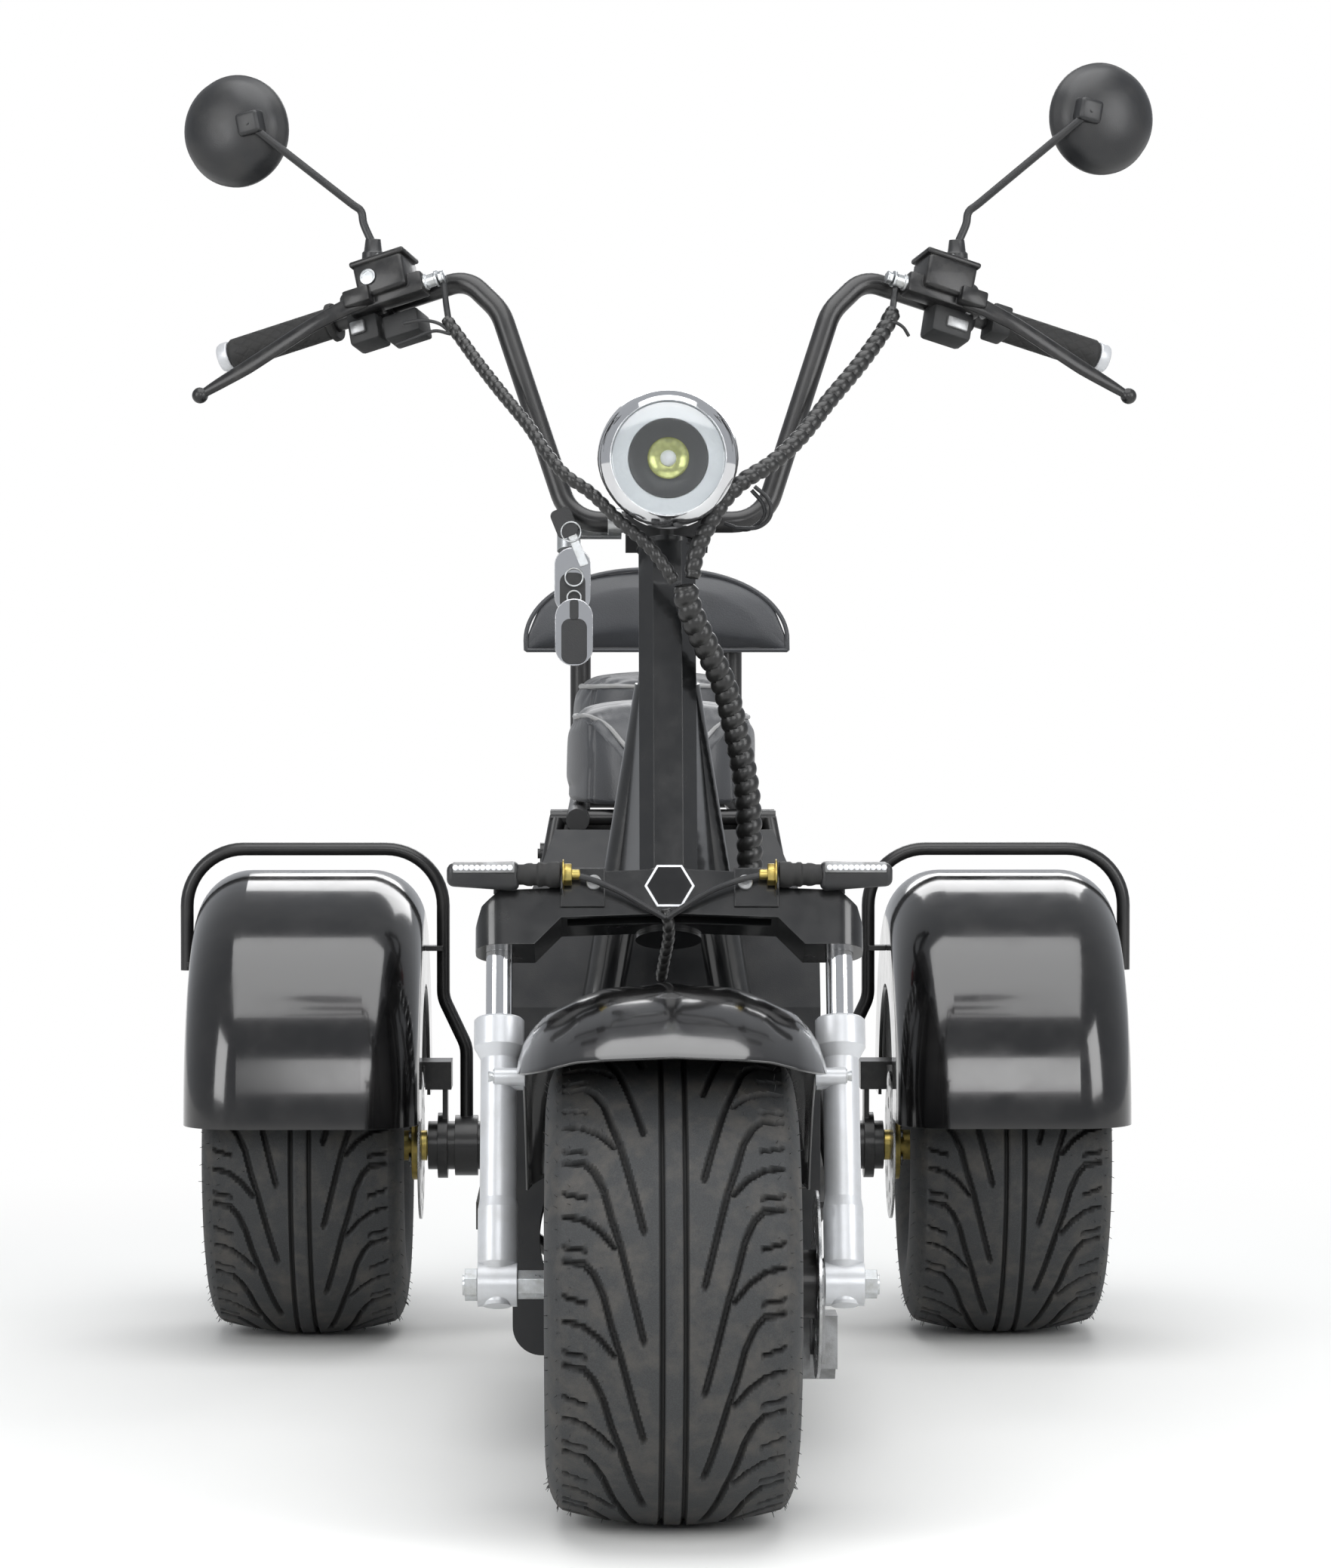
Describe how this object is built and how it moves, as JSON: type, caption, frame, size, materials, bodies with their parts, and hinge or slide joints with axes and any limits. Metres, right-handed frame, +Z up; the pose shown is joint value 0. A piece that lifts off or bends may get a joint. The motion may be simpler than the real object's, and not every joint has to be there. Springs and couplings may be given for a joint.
{
  "type": "electric tricycle",
  "caption": "Electric tricycle with a raked telescopic fork, high handlebars, stepped saddle with backrest, wide tyres and rear fenders under tubular guard bars.",
  "frame": {"origin": "on the ground at mid length and mid width, under the bounding box's centre", "axes": "+Z up, the front wheel towards -Y, +X to the rider's left"},
  "size_m": [1.164, 1.8185, 1.4319],
  "materials": {
    "frame_black": "semi-gloss black paint",
    "satin_black": "satin black powder coat",
    "gloss_black": "gloss black paint",
    "shell_black": "moulded black plastic",
    "seat_vinyl": "charcoal vinyl",
    "motor_grey": "cast aluminium",
    "spring_steel": "chromed steel",
    "lamp_red": "red lens",
    "chrome": "polished chrome",
    "silver_paint": "silver paint",
    "bright_zinc": "bright zinc plate",
    "yellow_zinc": "yellow zinc plate",
    "grip_rubber": "moulded rubber",
    "matte_plastic": "matte black plastic",
    "clear_lens": "clear lens",
    "tyre_rubber": "dusty tyre rubber",
    "rim_black": "black cast aluminium",
    "disc_steel": "ground steel"
  },
  "bodies": {
    "chassis": {"main_frame": "frame_black", "seat_frame": "satin_black", "front_shield": "shell_black", "battery_case": "shell_black", "footboards": "satin_black", "body_shell": "shell_black", "saddle": "seat_vinyl", "pillion": "seat_vinyl", "backrest": "seat_vinyl", "axle_housing": "satin_black", "drive_motor": "motor_grey", "swing_arm": "satin_black", "shock_absorbers": "spring_steel", "rear_fenders": "gloss_black", "guard_bars": "satin_black", "rear_calipers": "satin_black", "tail_lamp": "lamp_red"},
    "steering": {"fork_crown": "frame_black", "stanchions": "chrome", "fork_lowers": "silver_paint", "front_axle": "bright_zinc", "front_mudguard": "gloss_black", "bar_clamp": "frame_black", "handlebar": "satin_black", "grips": "grip_rubber", "brake_levers": "satin_black", "master_cylinders": "satin_black", "switch_pods": "matte_plastic", "headlight_shell": "chrome", "headlight_lens": "clear_lens", "mirrors": "matte_plastic", "front_signals": "matte_plastic", "front_caliper": "silver_paint", "ignition_key": "satin_black"},
    "front_wheel": {"front_tyre": "tyre_rubber", "front_rim": "rim_black", "front_disc": "disc_steel"},
    "rear_wheel_left": {"rear_tyre_left": "tyre_rubber", "rear_rim_left": "rim_black", "rear_hub_left": "yellow_zinc", "rear_disc_left": "disc_steel"},
    "rear_wheel_right": {"rear_tyre_right": "tyre_rubber", "rear_rim_right": "rim_black", "rear_hub_right": "yellow_zinc", "rear_disc_right": "disc_steel"}
  },
  "joints": [
    {"name": "steering", "type": "hinge", "parent": "chassis", "child": "steering", "pos_m": [0, -0.50166, 0.58899], "axis": [0, 0.342, 0.9397], "range_deg": [-35, 35]},
    {"name": "front_wheel_spin", "type": "hinge", "parent": "steering", "child": "front_wheel", "pos_m": [0, -0.68075, 0.2285], "axis": [1, 0, 0], "continuous": true},
    {"name": "rear_left_spin", "type": "hinge", "parent": "chassis", "child": "rear_wheel_left", "pos_m": [0.423, 0.61925, 0.2285], "axis": [1, 0, 0], "continuous": true},
    {"name": "rear_right_spin", "type": "hinge", "parent": "chassis", "child": "rear_wheel_right", "pos_m": [-0.423, 0.61925, 0.2285], "axis": [1, 0, 0], "continuous": true}
  ]
}
